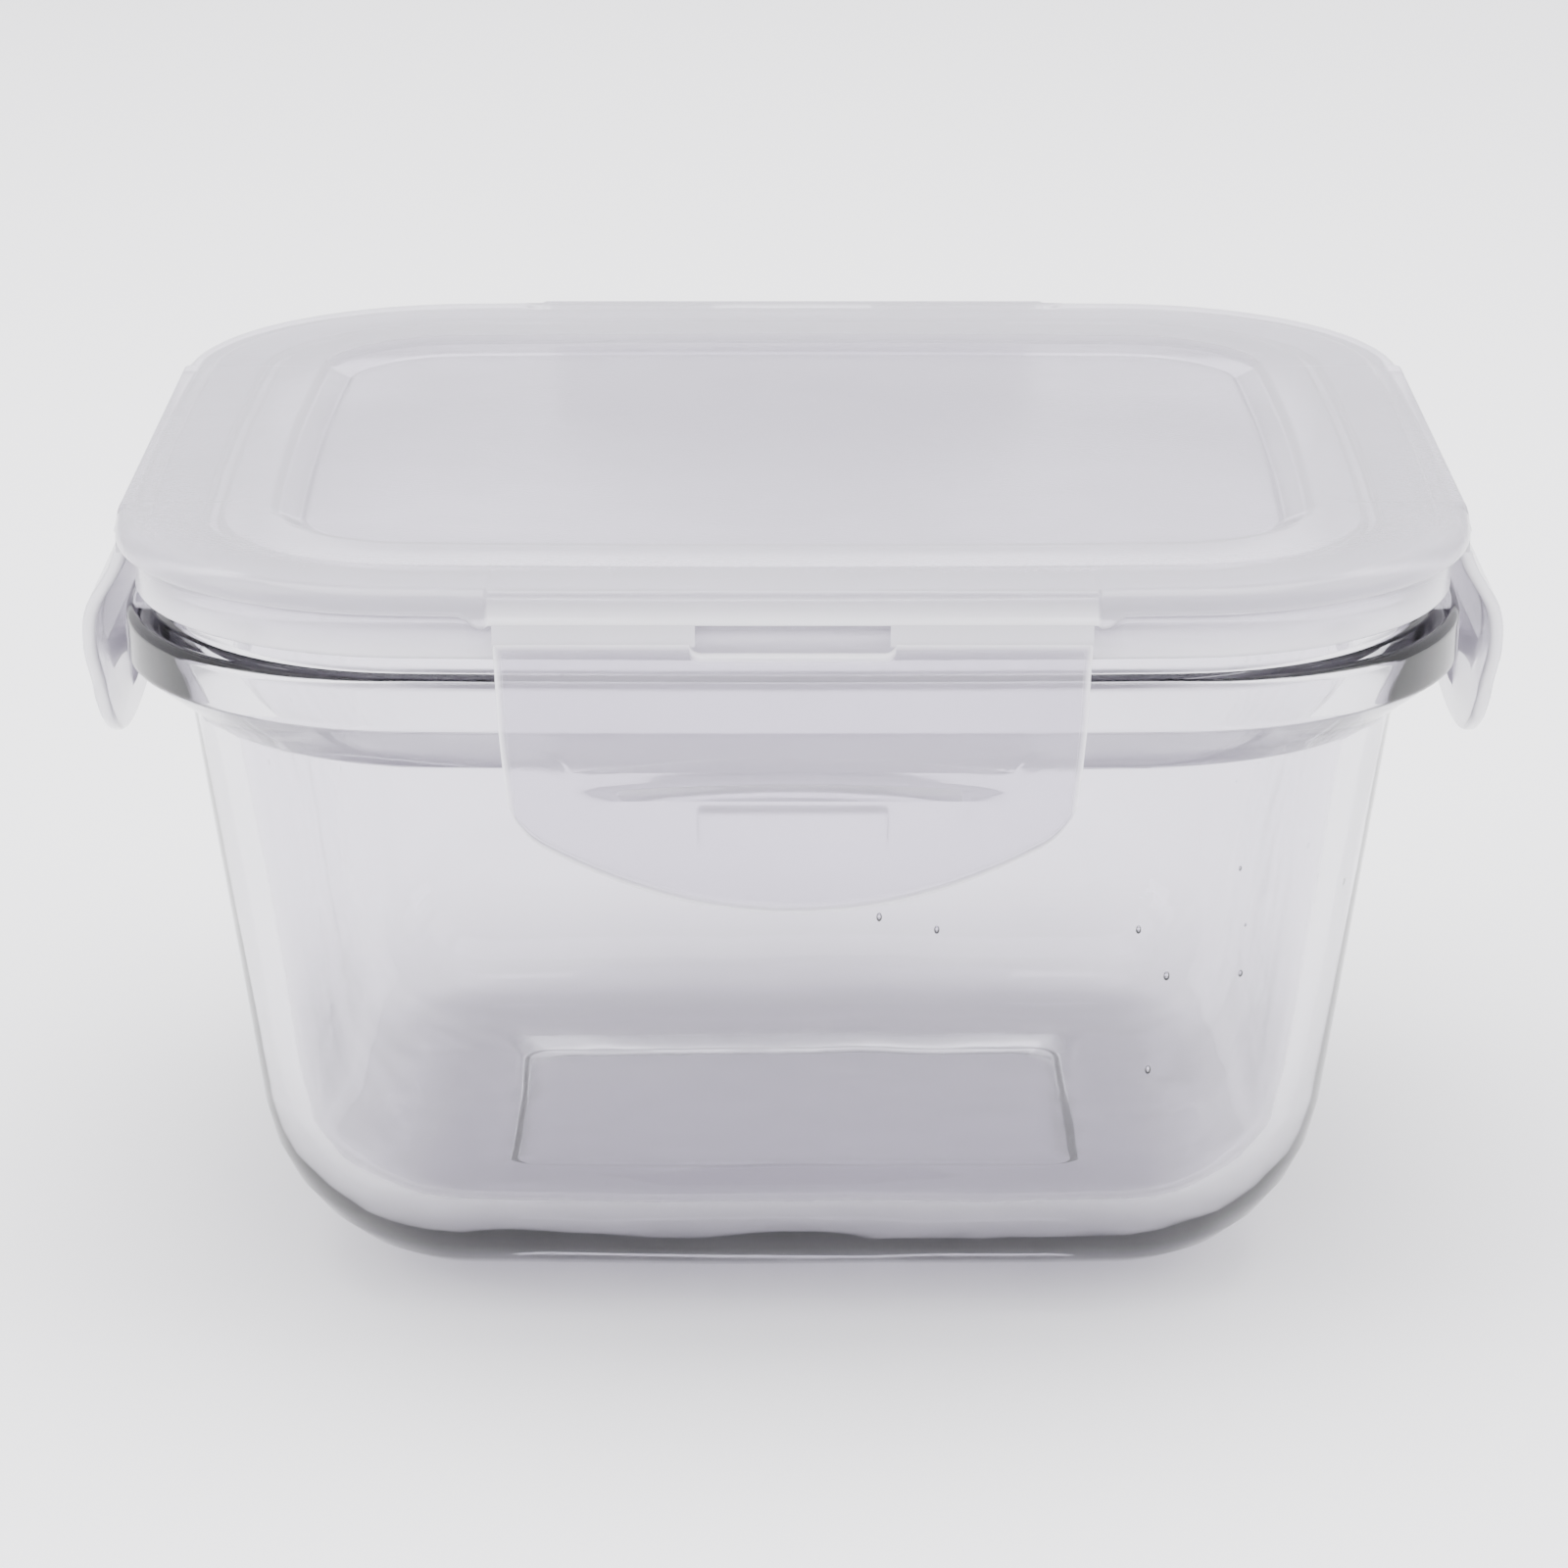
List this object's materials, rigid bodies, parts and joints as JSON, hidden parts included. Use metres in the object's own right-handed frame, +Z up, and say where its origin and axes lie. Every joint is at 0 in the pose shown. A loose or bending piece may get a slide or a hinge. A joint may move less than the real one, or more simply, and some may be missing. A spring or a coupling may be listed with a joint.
{
  "type": "glass food container",
  "caption": "Pressed glass food container with a translucent plastic lid that seals and locks with hinged latches on all sides.",
  "frame": {"origin": "centre of the bottom, on the surface that the container stands on", "axes": "+Z up through the lid, +X along the longer side towards the right latch, -Y towards the front latch"},
  "size_m": [0.1374, 0.1244, 0.0774],
  "materials": {
    "glass": "clear pressed glass, polished, with a faint green tint in thick edges",
    "lid": "frosted translucent polypropylene",
    "seal": "translucent silicone"
  },
  "bodies": {
    "dish": {"glass_dish": "glass"},
    "lid": {"lid_panel": "lid", "lid_seal": "seal", "front_hinge_web": "lid", "back_hinge_web": "lid", "left_hinge_web": "lid", "right_hinge_web": "lid"},
    "front_latch": {"front_latch": "lid"},
    "back_latch": {"back_latch": "lid"},
    "left_latch": {"left_latch": "lid"},
    "right_latch": {"right_latch": "lid"}
  },
  "joints": [
    {"name": "lid_lift", "type": "slide", "parent": "dish", "child": "lid", "axis": [0, 0, 1], "range_m": [0, 0.06]},
    {"name": "front_latch_hinge", "type": "hinge", "parent": "lid", "child": "front_latch", "pos_m": [0, -0.05815, 0.0735], "axis": [-1, 0, 0], "range_deg": [0, 120]},
    {"name": "back_latch_hinge", "type": "hinge", "parent": "lid", "child": "back_latch", "pos_m": [0, 0.05815, 0.0735], "axis": [1, 0, 0], "range_deg": [0, 120]},
    {"name": "left_latch_hinge", "type": "hinge", "parent": "lid", "child": "left_latch", "pos_m": [-0.06465, 0, 0.0735], "axis": [0, 1, 0], "range_deg": [0, 120]},
    {"name": "right_latch_hinge", "type": "hinge", "parent": "lid", "child": "right_latch", "pos_m": [0.06465, 0, 0.0735], "axis": [0, -1, 0], "range_deg": [0, 120]}
  ]
}
